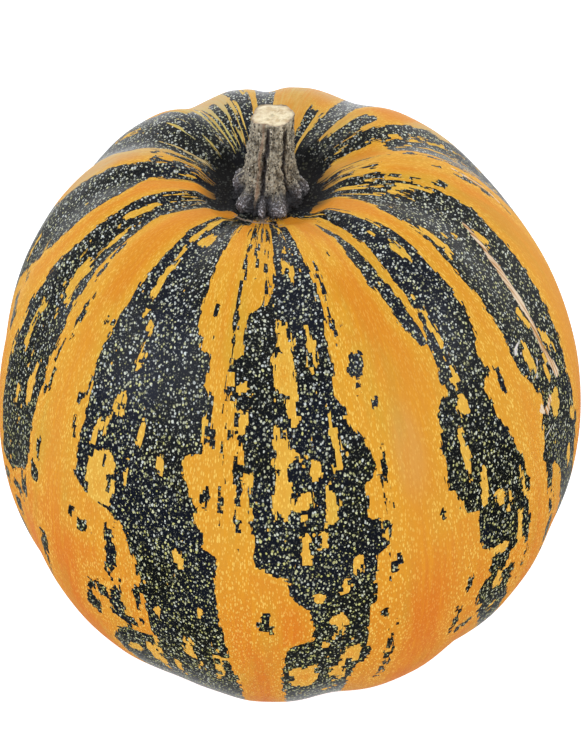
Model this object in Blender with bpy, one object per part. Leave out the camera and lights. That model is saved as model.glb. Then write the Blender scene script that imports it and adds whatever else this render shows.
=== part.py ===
"""A striped oil pumpkin as picked: a ribbed fruit standing on its blossom end, with its cut stem.

Metres, +Z up. The origin is the middle of the flat spot that the fruit rests on.
Azimuths are in degrees: 0 faces -Y and 90 faces +X. Polar angles run from the stem end, 0,
over the waist, 90, to the blossom end, 180.
"""
import math

import bmesh
import bpy

# Body of the fruit, as half sizes about its waist
HALF_WIDTH = 0.115
TOP_HALF_HEIGHT = 0.1356
BOTTOM_HALF_HEIGHT = 0.1264
BULGE_SHARE = 0.055
BULGE_AZIMUTH = 80.0
OVAL_SHARE = 0.015
OVAL_AZIMUTH = 79.0
LEAN = 0.0075
REST_SPOT_RADIUS = 0.024

# Hollow that the stem grows out of, and the level seat at its foot
HOLLOW_DEPTH = 0.0314
HOLLOW_RADIUS = 0.040
HOLLOW_CENTRE = (-0.0022, 0.0026)
SEAT_RADIUS = 0.016
SEAT_RISE = 0.0012
SEAT_SLOPE_WIDTH = 0.012

# Crest of each rib: its azimuth near the stem, at the waist and near the base
RIB_LEVELS = (25.0, 75.0, 125.0)
RIB_CRESTS = (
    (-104.0, -106.0, -104.0),
    (-81.0, -79.0, -77.0),
    (-50.0, -53.0, -50.0),
    (-18.0, -10.0, -3.0),
    (18.0, 26.0, 31.0),
    (55.0, 54.0, 56.0),
    (97.0, 82.0, 80.0),
    (133.0, 130.0, 128.0),
    (171.0, 170.0, 168.0),
    (190.0, 189.0, 188.0),
    (223.0, 223.0, 221.0),
)
RIB_DEPTH_WAIST = 0.0013
RIB_DEPTH_SHOULDER = 0.0034
RIB_DEPTH_FOOT = 0.0022
SHOULDER_POLAR = 24.0
FOOT_POLAR = 128.0
RIB_SPREAD = 24.0
GROOVE_SHARPNESS = 1.6
CREST_SHARE = 0.15
FULL_RIB_WIDTH = 30.0
RIB_FADE_WIDTH = 0.022

# Stem
STEM_CENTRE = (-0.0011, 0.0030)
STEM_LENGTH = 0.0352
STEM_TOP_RADIUS = 0.0073
STEM_FLARE = 0.0068
STEM_FLARE_HEIGHT = 0.0094
STEM_LEAN = (0.0023, 0.0012)
RIDGE_AZIMUTH = 20.0
MAIN_RIDGES = 5
MAIN_RIDGE_SHARE = 0.06
ALL_RIDGES = 10
ALL_RIDGE_SHARE = 0.035
KNOB_RISE = 0.0014
KNOB_HEIGHT = 0.0035
KNOB_SPREAD = 0.0028
CUT_TILT = 8.0
SEAT_GAP = 0.0003

# Mesh fineness
FRUIT_SIDES = 100
FRUIT_RINGS = 40
FRUIT_RING_CROWDING = 1.25
STEM_SIDES = 60
STEM_RINGS = 14
SHARP_ANGLE = 40.0

WAIST_HEIGHT = BOTTOM_HALF_HEIGHT * math.sqrt(1 - (REST_SPOT_RADIUS / HALF_WIDTH) ** 2)
SEAT_HEIGHT = WAIST_HEIGHT + TOP_HALF_HEIGHT - HOLLOW_DEPTH + SEAT_RISE


def clear_scene():
    for thing in list(bpy.data.objects):
        bpy.data.objects.remove(thing, do_unlink=True)


def smooth_step(value):
    value = min(max(value, 0.0), 1.0)
    return value * value * (3 - 2 * value)


def bell(value):
    return math.exp(-value * value)


def crest_azimuth(rib, polar):
    """Azimuth of one rib's crest at a polar angle: the ribs lean a little on their way down."""
    near_stem, waist, base = rib
    upper = smooth_step((polar - RIB_LEVELS[0]) / (RIB_LEVELS[1] - RIB_LEVELS[0]))
    lower = smooth_step((polar - RIB_LEVELS[1]) / (RIB_LEVELS[2] - RIB_LEVELS[1]))
    return near_stem + (waist - near_stem) * upper + (base - waist) * lower


def groove_share(azimuth, polar):
    """0 on a rib's crest and 1 in the groove between two of them."""
    crests = [crest_azimuth(rib, polar) for rib in RIB_CRESTS]
    for low, high in zip(crests, crests[1:] + [crests[0] + 360]):
        across = ((azimuth - low) % 360) / (high - low)
        if across < 1:
            wave = 0.5 - 0.5 * math.cos(2 * math.pi * across)
            return wave ** GROOVE_SHARPNESS * min((high - low) / FULL_RIB_WIDTH, 1)
    return 0.0


def rib_relief(azimuth, polar, radius):
    """Height of the ribs' surface over the plain body, level on the seat and on the rest spot."""
    shoulder = (RIB_DEPTH_SHOULDER - RIB_DEPTH_WAIST) * bell((polar - SHOULDER_POLAR) / RIB_SPREAD)
    foot = (RIB_DEPTH_FOOT - RIB_DEPTH_WAIST) * bell((polar - FOOT_POLAR) / RIB_SPREAD)
    level_radius = SEAT_RADIUS if polar < 90 else REST_SPOT_RADIUS
    fade = smooth_step((radius - level_radius) / RIB_FADE_WIDTH)
    rise = CREST_SHARE - groove_share(azimuth, polar)
    return (RIB_DEPTH_WAIST + shoulder + foot) * fade * rise


def fruit_point(azimuth, polar):
    """One point of the fruit's skin."""
    turn = math.radians(azimuth)
    across = math.sin(math.radians(polar))
    along = math.cos(math.radians(polar))
    half_height = TOP_HALF_HEIGHT if along > 0 else BOTTOM_HALF_HEIGHT
    bulge = BULGE_SHARE * math.cos(turn - math.radians(BULGE_AZIMUTH))
    oval = OVAL_SHARE * math.cos(2 * (turn - math.radians(OVAL_AZIMUTH)))
    radius = HALF_WIDTH * across
    relief = rib_relief(azimuth, polar, radius)
    reach = radius * (1 + (bulge + oval) * across) + relief * across
    height = WAIST_HEIGHT + half_height * along + relief * along
    shift = 0.0
    if along > 0:
        shift = bell(radius / HOLLOW_RADIUS)
        height -= HOLLOW_DEPTH * shift
        rise = smooth_step((radius - SEAT_RADIUS) / SEAT_SLOPE_WIDTH)
        height = SEAT_HEIGHT + (height - SEAT_HEIGHT) * rise
    x = reach * math.sin(turn) + HOLLOW_CENTRE[0] * shift + LEAN * height
    y = -reach * math.cos(turn) + HOLLOW_CENTRE[1] * shift
    return x, y, height


def fruit_rings():
    """Rings of skin points from the rest spot's edge, up over the shoulder and down to the seat."""
    lowest = 180 - math.degrees(math.asin(REST_SPOT_RADIUS / HALF_WIDTH))
    highest = math.degrees(math.asin(SEAT_RADIUS / HALF_WIDTH))
    rings = []
    for step in range(FRUIT_RINGS):
        share = 1 - (1 - step / (FRUIT_RINGS - 1)) ** FRUIT_RING_CROWDING
        polar = lowest + (highest - lowest) * share
        rings.append([fruit_point(360 * side / FRUIT_SIDES, polar) for side in range(FRUIT_SIDES)])
    rings[0] = [(x, y, 0.0) for x, y, _ in rings[0]]
    return rings


def stem_point(azimuth, height):
    """One point of the stem's bark: flared at the foot, ridged all the way, knobbly where it joins."""
    turn = math.radians(azimuth)
    ridge_turn = math.radians(azimuth - RIDGE_AZIMUTH)
    main = MAIN_RIDGE_SHARE * math.cos(MAIN_RIDGES * ridge_turn)
    every = ALL_RIDGE_SHARE * math.cos(ALL_RIDGES * ridge_turn)
    knob = KNOB_RISE * (0.5 + 0.5 * math.cos(ALL_RIDGES * ridge_turn))
    knob *= bell((height - KNOB_HEIGHT) / KNOB_SPREAD)
    plain = STEM_TOP_RADIUS + STEM_FLARE * math.exp(-height / STEM_FLARE_HEIGHT)
    radius = plain * (1 + main + every) + knob
    lean = (height / STEM_LENGTH) ** 2
    x = radius * math.sin(turn) + STEM_CENTRE[0] + LEAN * SEAT_HEIGHT + STEM_LEAN[0] * lean
    y = -radius * math.cos(turn) + STEM_CENTRE[1] + STEM_LEAN[1] * lean
    cut = lean * math.tan(math.radians(CUT_TILT)) * radius * math.cos(turn)
    return x, y, SEAT_HEIGHT + SEAT_GAP + height + cut


def stem_rings():
    rings = []
    for step in range(STEM_RINGS):
        height = STEM_LENGTH * (step / (STEM_RINGS - 1)) ** 1.5
        rings.append([stem_point(360 * side / STEM_SIDES, height) for side in range(STEM_SIDES)])
    return rings


def loft(name, rings):
    """One closed body through rings of points that run anticlockwise seen from above."""
    shape = bmesh.new()
    loops = [[shape.verts.new(point) for point in ring] for ring in rings]
    for low, high in zip(loops, loops[1:]):
        for side in range(len(low)):
            after = (side + 1) % len(low)
            shape.faces.new((low[side], low[after], high[after], high[side]))
    shape.faces.new(reversed(loops[0]))
    shape.faces.new(loops[-1])
    mesh = bpy.data.meshes.new(name)
    shape.to_mesh(mesh)
    shape.free()
    mesh.shade_smooth()
    mesh.set_sharp_from_angle(angle=math.radians(SHARP_ANGLE))
    piece = bpy.data.objects.new(name, mesh)
    bpy.context.scene.collection.objects.link(piece)
    return piece


def finish(piece, name, colour, roughness):
    """A plain surface in the colour that the piece has from a distance."""
    material = bpy.data.materials.new(name)
    material.use_nodes = True
    shader = material.node_tree.nodes["Principled BSDF"]
    shader.inputs["Base Color"].default_value = (*colour, 1)
    shader.inputs["Roughness"].default_value = roughness
    shader.inputs["Metallic"].default_value = 0.0
    material.diffuse_color = (*colour, 1)
    piece.data.materials.append(material)


def build():
    clear_scene()
    finish(loft("fruit", fruit_rings()), "waxy rind", (0.60, 0.30, 0.04), 0.35)
    finish(loft("stem", stem_rings()), "dry stem bark", (0.16, 0.13, 0.09), 0.8)


build()
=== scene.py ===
import math
from functools import partial

import bpy
import numpy as np
from mathutils import Matrix, Vector


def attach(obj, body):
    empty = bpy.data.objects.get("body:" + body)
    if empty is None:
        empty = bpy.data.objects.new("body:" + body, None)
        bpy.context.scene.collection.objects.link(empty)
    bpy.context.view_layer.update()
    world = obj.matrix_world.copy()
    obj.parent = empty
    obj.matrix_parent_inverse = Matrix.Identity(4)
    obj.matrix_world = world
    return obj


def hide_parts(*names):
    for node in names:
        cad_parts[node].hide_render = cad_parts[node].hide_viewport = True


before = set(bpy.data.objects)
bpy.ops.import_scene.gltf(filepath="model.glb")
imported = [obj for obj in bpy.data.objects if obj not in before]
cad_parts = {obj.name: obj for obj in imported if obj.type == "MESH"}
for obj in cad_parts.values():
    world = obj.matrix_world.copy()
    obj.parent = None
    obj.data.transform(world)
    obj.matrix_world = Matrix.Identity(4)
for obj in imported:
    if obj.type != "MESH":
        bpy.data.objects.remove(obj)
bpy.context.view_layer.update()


# The fruit's rind
# One grown skin over eleven soft ribs, from the flat spot that it rests on up to the hollow round the
# stem. Azimuths are in degrees, 0 towards the camera and 90 to its right, and polar angles run
# from the stem end, 0, to the blossom end, 180.
HALF_WIDTH = 0.115
TOP_HALF_HEIGHT = 0.1356
BOTTOM_HALF_HEIGHT = 0.1264
BULGE_SHARE, BULGE_AZIMUTH = 0.055, 80.0
OVAL_SHARE, OVAL_AZIMUTH = 0.015, 79.0
LEAN = 0.0075
REST_SPOT_RADIUS = 0.024
HOLLOW_DEPTH, HOLLOW_RADIUS = 0.0314, 0.040
HOLLOW_CENTRE = (-0.0022, 0.0026)
SEAT_RADIUS, SEAT_RISE, SEAT_SLOPE_WIDTH = 0.016, 0.0012, 0.012
WAIST_HEIGHT = BOTTOM_HALF_HEIGHT * math.sqrt(1 - (REST_SPOT_RADIUS / HALF_WIDTH) ** 2)
SEAT_HEIGHT = WAIST_HEIGHT + TOP_HALF_HEIGHT - HOLLOW_DEPTH + SEAT_RISE

# Crest of each rib: its azimuth near the stem, at the waist and near the base
RIB_LEVELS = (25.0, 75.0, 125.0)
RIB_CRESTS = (
    (-104, -106, -104), (-81, -79, -77), (-50, -53, -50), (-18, -10, -3), (18, 26, 31),
    (55, 54, 56), (97, 82, 80), (133, 130, 128), (171, 170, 168), (190, 189, 188), (223, 223, 221),
)
RIB_DEPTH_WAIST, RIB_DEPTH_SHOULDER, RIB_DEPTH_FOOT = 0.0013, 0.0034, 0.0022
SHOULDER_POLAR, FOOT_POLAR, RIB_SPREAD = 24.0, 128.0, 24.0
GROOVE_SHARPNESS, CREST_SHARE, RIB_FADE_WIDTH = 1.6, 0.15, 0.022
FULL_RIB_WIDTH = 30.0

RIND_COLUMNS, RIND_ROWS = 500, 196
ROW_CROWDING = 1.15
MM_PER_DEGREE = 2.0
MM_PER_POLAR_DEGREE = 2.2


def smooth_step(value):
    share = np.clip(value, 0.0, 1.0)
    return share * share * (3 - 2 * share)


def bell(value):
    return np.exp(-value * value)


def aside_of(azimuth, middle):
    """Degrees from a middle azimuth, -180 to 180."""
    return (azimuth - middle + 180) % 360 - 180


def rib_relief(azimuth, polar, radius):
    """Height of the ribbed skin over the plain body, in metres."""
    upper = smooth_step((polar - RIB_LEVELS[0]) / (RIB_LEVELS[1] - RIB_LEVELS[0]))
    lower = smooth_step((polar - RIB_LEVELS[1]) / (RIB_LEVELS[2] - RIB_LEVELS[1]))
    crests = [top + (waist - top) * upper + (base - waist) * lower for top, waist, base in RIB_CRESTS]
    crests.append(crests[0] + 360)
    groove = np.zeros_like(azimuth)
    for low, high in zip(crests, crests[1:]):
        across = ((azimuth - low) % 360) / (high - low)
        wave = (0.5 - 0.5 * np.cos(2 * np.pi * across)) ** GROOVE_SHARPNESS
        wave = wave * np.minimum((high - low) / FULL_RIB_WIDTH, 1)
        groove = np.where(across < 1, wave, groove)
    shoulder = (RIB_DEPTH_SHOULDER - RIB_DEPTH_WAIST) * bell((polar - SHOULDER_POLAR) / RIB_SPREAD)
    foot = (RIB_DEPTH_FOOT - RIB_DEPTH_WAIST) * bell((polar - FOOT_POLAR) / RIB_SPREAD)
    level_radius = np.where(polar < 90, SEAT_RADIUS, REST_SPOT_RADIUS)
    fade = smooth_step((radius - level_radius) / RIB_FADE_WIDTH)
    return (RIB_DEPTH_WAIST + shoulder + foot) * fade * (CREST_SHARE - groove)


def rind_points(azimuth, polar, relief):
    """Points of the skin, with a fine relief in metres on top of the ribs."""
    turn = np.radians(azimuth)
    across = np.sin(np.radians(polar))
    along = np.cos(np.radians(polar))
    upper = along > 0
    half_height = np.where(upper, TOP_HALF_HEIGHT, BOTTOM_HALF_HEIGHT)
    bulge = BULGE_SHARE * np.cos(turn - math.radians(BULGE_AZIMUTH))
    oval = OVAL_SHARE * np.cos(2 * (turn - math.radians(OVAL_AZIMUTH)))
    radius = HALF_WIDTH * across
    skin = rib_relief(azimuth, polar, radius) + relief
    reach = radius * (1 + (bulge + oval) * across) + skin * across
    height = WAIST_HEIGHT + half_height * along + skin * along
    shift = np.where(upper, bell(radius / HOLLOW_RADIUS), 0.0)
    height = height - HOLLOW_DEPTH * shift
    rise = np.where(upper, smooth_step((radius - SEAT_RADIUS) / SEAT_SLOPE_WIDTH), 1.0)
    height = SEAT_HEIGHT + (height - SEAT_HEIGHT) * rise
    x = reach * np.sin(turn) + HOLLOW_CENTRE[0] * shift + LEAN * height
    y = -reach * np.cos(turn) + HOLLOW_CENTRE[1] * shift
    return np.stack([x, y, height], axis=-1)


# Dark stripes of the rind, round from the far left to the far side. An edge is a run of
# (polar, azimuth) corners, a window is an orange gap (azimuth, polar, width, height) in degrees,
# and solid is how many millimetres of noise it takes to break the stripe's middle open.
STRIPES = (
    dict(solid=3.0,
         left=((6, -146), (20, -143), (30, -138), (40, -136), (60, -138), (90, -140), (118, -136),
               (150, -134)),
         right=((6, -124), (15, -123), (20, -121), (25, -116), (30, -111), (35, -113), (45, -117),
                (60, -118), (80, -116), (100, -119), (120, -122), (150, -122)),
         windows=((-137, 18, 1.2, 9), (-131, 14, 1.2, 12), (-128, 40, 2, 9), (-133, 55, 3, 6),
                  (-124, 72, 3, 8), (-131, 92, 4, 6))),
    dict(solid=3.5,
         left=((6, -99), (20, -99), (28, -101), (38, -102), (48, -104), (53, -108), (60, -110), (72, -108)),
         right=((6, -93), (24, -93), (27, -85), (30, -83), (42, -83.5), (48, -85), (52, -87.5), (56, -91),
                (60, -94.5), (66, -97), (72, -99)),
         windows=((-103.5, 34, 1.2, 8), (-89, 51, 2, 2.5), (-98, 57, 1, 5))),
    dict(solid=1.6,
         left=((70, -108), (80, -106), (95, -107), (110, -109), (130, -107), (150, -105)),
         right=((70, -100), (80, -97), (95, -98), (110, -99), (130, -99), (150, -98)),
         windows=((-102, 88, 2.5, 7), (-103, 104, 2, 6))),
    dict(solid=1.5,
         left=((6, -78), (20, -77), (26, -76), (30, -75), (40, -75.5), (50, -77), (58, -78), (68, -78),
               (75, -76.5), (82, -75), (88, -74)),
         right=((6, -62), (20, -62), (24, -64), (30, -61.5), (40, -62.5), (50, -61.5), (56, -60), (80, -60),
                (83, -62), (86, -67), (88, -69)),
         windows=((-70.5, 26.5, 3, 7), (-67, 45.5, 3.5, 8), (-76.2, 33, 1.4, 9), (-66, 35, 1.2, 11),
                  (-64.6, 65.5, 2.5, 7), (-77, 64, 1, 9), (-72, 60, 1.2, 8), (-69, 72, 1.6, 4))),
    dict(solid=4.5,
         left=((6, -40), (20, -42.5), (30, -43), (37, -44), (45, -45), (51, -46.5), (56, -45.2),
               (65, -44.5), (73, -44.5), (76, -41), (77, -33), (80, -30.5), (85, -28.5), (90, -27.5),
               (96, -26.5), (104, -26), (106, -36), (112, -38), (120, -37), (130, -35), (150, -33)),
         right=((6, -21), (30, -21.5), (41.5, -21), (42, -19.3), (44, -19), (44.5, -16.7), (50.5, -16.3),
                (51, -14.5), (57, -14.3), (58, -15.3), (61, -15.3), (61.5, -19), (66, -19), (66.5, -17.5),
                (69.5, -17), (70, -15.8), (73.5, -15.5), (74, -14.3), (77.5, -14), (78.5, -12), (83, -11.6),
                (95, -11), (101, -10), (110, -8.8), (120, -8), (130, -9), (150, -10)),
         windows=((-37.6, 71.5, 6.4, 9.6), (-38.6, 29, 1.6, 19), (-33, 21.5, 6, 4.4),
                  (-35.8, 56.8, 1.4, 2.6), (-35.8, 59.7, 1.7, 2.4), (-39.8, 62.4, 2, 2.6),
                  (-30, 60.8, 1.2, 3), (-31.6, 68, 1.3, 3), (-40.8, 65, 1.5, 3), (-24.5, 68.2, 1.2, 2.4),
                  (-37.5, 58, 0.8, 2), (-34.8, 48, 1.2, 2.4), (-15.4, 55.5, 0.9, 4), (-19, 81.5, 1.3, 4),
                  (-24.5, 64, 1.6, 3), (-36, 43, 1.6, 2), (-28, 111, 2, 7), (-18, 103, 1.6, 5),
                  (-16, 109, 1, 4), (-12, 107, 1, 7), (-33, 113, 3, 3), (-26.3, 111, 1.2, 12),
                  (-22, 114, 1, 5), (-24, 96, 0.9, 3), (-15, 92, 0.8, 2))),
    dict(solid=1.7,
         left=((6, 3), (20, 1.5), (27, 1), (33, -1), (34.5, -3), (36.5, -7.5), (44, -8), (45, -10.3),
               (50, -9.5), (57, -8.5), (58, -7), (65, -6.5), (66, -5), (77, -4.5), (80, -4), (81.5, -1),
               (82.5, 2), (86, 3), (89, 6), (94, 7), (97, 6.5), (99, 1.5), (106, 1), (116, 1), (130, 2),
               (150, 4)),
         right=((6, 10), (20, 11.5), (25, 12.5), (30, 14), (45, 14.3), (50, 13), (52, 15), (57, 17),
                (60, 19.5), (63, 20), (66, 17.5), (71.5, 17), (72.5, 21.5), (77, 21), (78.5, 18),
                (88, 18.5), (90, 17), (104, 17.5), (108, 15.5), (118, 15), (130, 16), (150, 15)),
         windows=((2.4, 41, 3, 7), (2.2, 46.5, 5, 7), (3.4, 52, 2.8, 5), (1.2, 59, 3, 8), (1.2, 66, 3.2, 9),
                  (3.5, 60, 3.4, 1.8), (5.2, 67.7, 3.4, 4.2), (10.3, 69, 2, 5), (5, 76.5, 2.2, 5.5),
                  (8, 62.5, 2.6, 2.2), (9.8, 42, 1.4, 5), (12.2, 58, 1.6, 8), (12.2, 84, 1.5, 2.5),
                  (7.5, 86.5, 2, 2), (11.5, 93.5, 1.8, 5.5), (4.5, 91, 3, 2), (14.3, 103, 4, 5),
                  (5.4, 110, 5.2, 8), (12.5, 110, 2.5, 6), (-6, 67.5, 2, 10), (-7.2, 49.3, 3.2, 1.6),
                  (-7.4, 55, 2.6, 4), (7.2, 27.5, 1.3, 5), (4.8, 25, 1.6, 4), (9, 100, 1.2, 3),
                  (15, 80, 1.4, 3), (8.5, 75, 1.4, 2))),
    dict(solid=3.0,
         left=((16, 34.5), (22, 33), (27, 31.5), (34, 32), (36, 33.5), (42, 34.5), (47, 37.5)),
         right=((16, 36.5), (30, 37.3), (36, 38.3), (44, 39.3), (47, 40))),
    dict(solid=2.4,
         left=((6, 40), (15, 41), (25, 41.3), (34, 40), (37, 41), (45, 40.5), (48, 39.5), (56, 39),
               (57.5, 36), (60, 34.5), (71.5, 34), (72.3, 36.2), (77, 36), (77.6, 39.8), (86, 39.6),
               (87.5, 41.8), (94, 42.8), (97, 40.5), (104, 41.5), (108, 43.5), (112, 46), (118, 48),
               (125, 49), (150, 48)),
         right=((6, 48), (20, 51.5), (26, 53), (35, 53), (45, 53), (50.5, 52), (52, 50), (56, 50.5),
                (58, 48), (65, 48.5), (70, 50.5), (75, 52.5), (89, 52), (91, 47), (95, 46.5), (97, 48.5),
                (104, 49.5), (115, 52), (130, 55), (150, 54)),
         windows=((42.2, 45, 1.6, 7), (47.8, 31, 2.4, 5), (42.3, 52.5, 1.2, 3), (41.8, 59, 2, 3),
                  (39.5, 67, 1.3, 6), (49.7, 62.5, 3, 6), (46, 25, 1.2, 1.5), (51, 17, 1.2, 9),
                  (45.2, 96.5, 1.6, 4.5), (41.6, 103.4, 3, 2.6), (46.5, 108, 1, 3), (41.5, 74.2, 1.3, 5),
                  (45.5, 77.8, 3, 2.4), (46.8, 80.8, 1.4, 1.8), (51, 77, 1.1, 6), (49.2, 86.5, 1, 4),
                  (44.5, 88.5, 3, 1.8))),
    dict(solid=3.0,
         left=((6, 78), (12, 75), (16, 71), (20, 65), (23, 61.5), (30, 59.3), (40, 58.3), (55, 58.8),
               (61, 58), (64, 60.5), (69, 62), (71, 60), (78, 57.8), (80, 60.5), (84, 64), (90, 65.5),
               (95, 67.5), (100, 69), (120, 70), (150, 69)),
         right=((6, 90), (20, 86.3), (30, 85), (37, 84.8), (45, 82.3), (52, 80.7), (60, 78.5), (67, 76.5),
                (70, 74.5), (80, 75), (88, 74), (100, 76), (120, 78), (150, 79)),
         windows=((61.5, 33.5, 2.4, 8), (77, 42, 2.6, 3.4), (62.8, 61, 3, 5), (72.3, 63, 1.6, 4),
                  (67.5, 66, 2.4, 3.6), (66.8, 72.5, 4, 4), (77.5, 28, 1.1, 8), (81.5, 20, 1.2, 9),
                  (83.5, 27, 0.9, 7), (79.6, 23, 0.8, 8), (60.8, 68, 3.4, 2.6), (70.6, 37, 2, 1.4),
                  (68.4, 56, 1.6, 3), (73.5, 80, 1.6, 4), (70, 86, 1.4, 5))),
    dict(solid=1.8,
         left=((25, 107.5), (33, 105), (40, 104), (50, 104), (65, 101), (90, 99), (120, 101), (150, 103)),
         right=((25, 117), (35, 119.5), (45, 122.5), (60, 123), (80, 122), (100, 120), (120, 118),
                (150, 120)),
         windows=((112, 34, 1, 12), (117, 38, 1, 12), (108, 44, 1.2, 9), (113, 60, 3, 10), (104, 74, 3, 9),
                  (112, 92, 4, 8))),
    dict(solid=2.5,
         left=((6, 112), (14, 117), (20, 118.3), (30, 118.5), (40, 120)),
         right=((6, 121), (14, 124), (22, 125), (30, 125), (40, 124)),
         windows=((119.6, 20, 0.9, 12),)),
    dict(solid=2.5,
         left=((6, 124), (14, 126), (20, 128.5), (27, 130)),
         right=((6, 141), (12, 141), (18, 136), (27, 134.5)),
         windows=((137.5, 12, 1.5, 9), (128, 12, 1.2, 7))),
    dict(solid=2.6,
         left=((6, 142), (14, 143.5), (24, 143), (35, 141), (50, 140), (70, 139), (100, 141), (120, 143),
               (150, 140)),
         right=((6, 149), (14, 152), (30, 152.5), (45, 156), (60, 160), (90, 163), (120, 161), (150, 158)),
         windows=((147, 52, 3, 10), (155, 70, 3, 8), (148, 84, 4, 6), (156, 102, 3, 9))),
    dict(solid=2.5,
         left=((6, 155), (24, 156.5)),
         right=((6, 157.5), (24, 158.5))),
    dict(solid=2.4,
         left=((18, -180.5), (33, -180), (45, -181), (60, -183), (90, -184), (120, -181), (150, -179)),
         right=((18, -176), (33, -175), (40, -165), (60, -158), (90, -155), (120, -158), (150, -162)),
         windows=((-172, 52, 3, 9), (-166, 68, 4, 7), (-176, 82, 3, 9), (-165, 96, 3, 8))),
    dict(solid=2.0,
         left=((14, -170), (34, -169)),
         right=((14, -165), (34, -163))),
    dict(solid=1.6,
         left=((8, -149), (24, -148)),
         right=((8, -143), (24, -142))),
    dict(solid=1.2,
         left=((8, -158), (29, -157)),
         right=((8, -153), (29, -154))),
)

# Lone dark flecks on the orange: azimuth, polar, width and height in degrees
FLECKS = (
    (-87, 64.5, 9, 3.6), (-90, 58.5, 5, 1.6), (-66, 90.5, 5, 2.6), (-62.3, 86.5, 2.4, 4),
    (-68.5, 97, 2.6, 4), (-73, 92, 3, 3), (-71, 105, 3, 7), (-54.5, 94.5, 2.6, 5.5), (-55, 101.5, 1.6, 7),
    (-60.2, 36, 1.4, 8), (-56.6, 49, 1.2, 5), (-57.6, 59, 1.4, 6), (-56.5, 74.5, 1.2, 3), (-56.8, 80, 3, 3),
    (-47, 61, 1, 2), (-46.6, 65, 0.8, 2.5), (-47, 46, 2, 1.2), (-34.3, 85.5, 2.6, 9), (-34, 97.5, 3.2, 11),
    (-37.2, 95.5, 3, 5), (-40.2, 101.5, 3.6, 5), (-31.5, 102, 4, 2.5), (-28.7, 94, 1.1, 8),
    (-41, 82.6, 3, 2), (-44, 81, 1.4, 2), (-33.5, 75.8, 2.2, 4), (-40.5, 96, 1, 2), (-14.5, 68, 1.5, 3),
    (-37.8, 68.4, 0.9, 1.6), (-35.2, 72, 1, 2), (-14, 55.5, 1.2, 4), (-10.6, 25, 1.2, 16),
    (-11, 42, 0.8, 24), (-6.7, 23, 2, 8), (-2.2, 29.5, 1.2, 8), (-17.3, 37, 0.8, 4), (-2.5, 91.5, 2, 5),
    (16.3, 37, 1, 12), (19.5, 46.5, 4, 3.6), (19, 50, 1.6, 2), (22, 53, 1.2, 1.4), (21.3, 66, 0.8, 5),
    (21.8, 81, 1.6, 4), (19.6, 91.5, 1.4, 2), (-7.8, 67, 1, 10), (51.9, 84, 0.8, 15), (19, 39, 1, 1),
    (21.4, 106, 1.3, 14), (17, 100, 1, 10), (23.5, 25, 0.8, 1.2), (52.3, 59, 1, 4), (32, 75, 1.5, 2),
    (37.2, 92.5, 1.3, 5), (47.7, 96, 2.4, 3), (92.5, 19, 6, 1.8), (90, 15, 5, 1.4), (88.6, 31.5, 2, 2.4),
    (87.5, 23, 1.4, 5), (96.8, 41, 1.3, 10), (99.5, 40, 1.2, 6), (104, 27.5, 3, 1.6), (103, 35, 1.2, 9),
    (126, 66, 2, 7), (131, 84, 2, 5), (169, 60, 2, 6), (171, 90, 2, 8), (-148, 62, 2, 6),
    (-104.7, 22.5, 5, 2.2), (-106, 17.5, 4, 2.5), (-104, 14.5, 6, 2), (-116, 14, 3, 6), (-118, 19.5, 2, 5),
    (-112, 18, 1.5, 8), (-110, 24, 3, 1.5), (-100.5, 26, 2, 5), (-101, 19, 1.5, 6), (-113, 12.5, 3, 3),
    (-121, 24, 1.5, 7), (-146, 88, 2.5, 7), (-84, 96, 2, 6), (59.5, 82.5, 2.4, 5), (59.3, 89, 1.6, 7),
    (60.8, 96, 2.4, 10), (35.7, 101.5, 1.6, 6), (39.3, 106.5, 4.2, 2.4),
)


def stripe_depth(azimuth, polar, whole=False):
    """Millimetres in from the nearest edge of a dark stripe, below 0 on the orange. Whole has no gaps."""
    depth = np.full_like(azimuth, -20.0)
    for stripe in STRIPES:
        left = np.interp(polar, *zip(*stripe["left"]))
        right = np.interp(polar, *zip(*stripe["right"]))
        middle = (left + right) / 2
        aside = np.abs(aside_of(azimuth, middle))
        inside = ((right - left) / 2 - aside) * MM_PER_DEGREE
        start = (polar - stripe["left"][0][0]) * MM_PER_POLAR_DEGREE
        end = (stripe["left"][-1][0] - polar) * MM_PER_POLAR_DEGREE
        inside = np.minimum(np.minimum(inside, stripe["solid"]), np.minimum(start, end))
        for window in () if whole else stripe.get("windows", ()):
            inside = np.minimum(inside, -spot_depth(azimuth, polar, window))
        depth = np.maximum(depth, inside)
    for fleck in FLECKS:
        depth = np.maximum(depth, spot_depth(azimuth, polar, fleck))
    return depth


def spot_depth(azimuth, polar, spot):
    """The same measure for a lone blunt-cornered spot."""
    middle, level, width, height = spot
    aside = aside_of(azimuth, middle) / (width / 2)
    along = (polar - level) / (height / 2)
    reach = (np.abs(aside) ** 5 + np.abs(along) ** 5) ** (1 / 5)
    return (1 - reach) * min(width * MM_PER_DEGREE, height * MM_PER_POLAR_DEGREE) / 2


# Scar: a pale corky streak down the right shoulder, with scratches beside it and one in front.
# Each is its width in millimetres and its route of (azimuth, polar) points.
SCAR_RISE = 0.0003
SCARS = (
    (2.2, ((77.5, 38), (75.2, 42), (73.6, 45))),
    (3.8, ((73.6, 45), (72.3, 48.5), (71.4, 52), (71, 55))),
    (3.0, ((71, 55), (70.3, 58), (69.6, 62), (69.8, 65), (70.8, 69))),
    (2.6, ((60.8, 69.6), (62.6, 71.2), (65, 70.2))),
)
SCRATCHES = (
    (1.0, ((60, 65.2), (63, 64.8), (66, 62.6), (68.5, 62.4))),
    (0.9, ((58.2, 56.8), (61, 57.2), (64.5, 57))),
    (0.8, ((58.5, 58.4), (60, 58.1), (62, 59.2))),
    (0.9, ((60, 74.5), (63.5, 74.8))),
    (0.7, ((-11.2, 29), (-11.0, 34), (-11.4, 38))),
    (1.0, ((99.5, 35), (98.5, 39), (98.5, 43), (97, 47))),
)
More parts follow.
